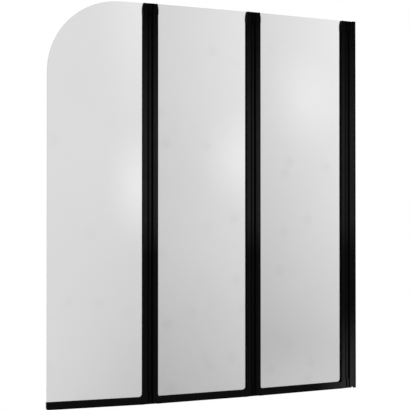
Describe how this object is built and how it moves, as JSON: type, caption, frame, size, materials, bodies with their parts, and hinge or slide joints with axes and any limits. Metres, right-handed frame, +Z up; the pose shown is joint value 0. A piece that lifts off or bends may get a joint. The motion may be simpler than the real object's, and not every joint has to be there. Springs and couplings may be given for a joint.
{
  "type": "folding bath screen",
  "caption": "Folding glass bath screen: framed wings joined by double-pivot link hinges, hung from a wall channel, with a rounded outer top corner.",
  "frame": {"origin": "wall face of the channel, on its centre line, level with the underside of the frame", "axes": "+X into the wall, so the screen runs along -X; +Z up; -Y is the front, the side that the picture shows"},
  "size_m": [1.1967, 0.0881, 1.4],
  "materials": {
    "black_profile": "matt powder coat",
    "black_plastic": "fine matt moulded grain",
    "rubber": "matt",
    "pin_steel": "turned steel",
    "bush_plastic": "smooth matt",
    "black_screws": "black oxide",
    "glass": "clear, seen light grey"
  },
  "bodies": {
    "wall_side": {"wall_channel": "black_profile", "channel_cover": "black_plastic", "wall_strips": "rubber", "wall_leaf": "black_profile", "wall_top_cap": "black_plastic", "wall_foot_cap": "black_plastic", "wall_bushes": "bush_plastic", "adjusting_screws": "pin_steel", "wall_leaf_screws": "black_screws"},
    "wall_link": {"wall_link_bar": "black_profile", "wall_link_top": "black_plastic", "wall_link_foot": "black_plastic", "wall_link_pins": "pin_steel"},
    "inner_wing": {"inner_glass": "glass", "inner_near_upright": "black_profile", "inner_far_upright": "black_profile", "inner_gasket": "rubber", "inner_rail": "black_profile", "inner_seal": "rubber", "inner_near_corner": "black_plastic", "inner_far_corner": "black_plastic", "inner_near_cap": "black_plastic", "inner_far_cap": "black_plastic", "inner_bushes": "bush_plastic", "inner_screws": "black_screws"},
    "middle_link": {"middle_link_bar": "black_profile", "middle_link_top": "black_plastic", "middle_link_foot": "black_plastic", "middle_link_pins": "pin_steel"},
    "middle_wing": {"middle_glass": "glass", "middle_near_upright": "black_profile", "middle_far_upright": "black_profile", "middle_gasket": "rubber", "middle_rail": "black_profile", "middle_seal": "rubber", "middle_near_corner": "black_plastic", "middle_far_corner": "black_plastic", "middle_near_cap": "black_plastic", "middle_far_cap": "black_plastic", "middle_bushes": "bush_plastic", "middle_screws": "black_screws"},
    "outer_link": {"outer_link_bar": "black_profile", "outer_link_top": "black_plastic", "outer_link_foot": "black_plastic", "outer_link_pins": "pin_steel"},
    "outer_wing": {"outer_glass": "glass", "outer_upright": "black_profile", "outer_gasket": "rubber", "outer_rail": "black_profile", "outer_seal": "rubber", "outer_corner": "black_plastic", "outer_cap": "black_plastic", "outer_rail_plug": "black_plastic", "outer_bushes": "bush_plastic", "outer_screws": "black_screws"}
  },
  "joints": [
    {"name": "wall_pivot", "type": "hinge", "parent": "wall_side", "child": "wall_link", "pos_m": [-0.019, 0, 0.7], "axis": [0, 0, -1], "range_deg": [-45, 45]},
    {"name": "inner_pivot", "type": "hinge", "parent": "wall_link", "child": "inner_wing", "pos_m": [-0.0496, 0, 0.7], "axis": [0, 0, -1], "range_deg": [-45, 45]},
    {"name": "middle_near_pivot", "type": "hinge", "parent": "inner_wing", "child": "middle_link", "pos_m": [-0.4246, 0, 0.7], "axis": [0, 0, 1], "range_deg": [-88.65, 91.35]},
    {"name": "middle_far_pivot", "type": "hinge", "parent": "middle_link", "child": "middle_wing", "pos_m": [-0.45519, 0.00072, 0.7], "axis": [0, 0, 1], "range_deg": [-88.65, 91.35]},
    {"name": "outer_near_pivot", "type": "hinge", "parent": "middle_wing", "child": "outer_link", "pos_m": [-0.82178, 0.01801, 0.7], "axis": [0, 0, -1], "range_deg": [-92.5, 87.5]},
    {"name": "outer_far_pivot", "type": "hinge", "parent": "outer_link", "child": "outer_wing", "pos_m": [-0.85226, 0.02078, 0.7], "axis": [0, 0, -1], "range_deg": [-92.5, 87.5]}
  ]
}
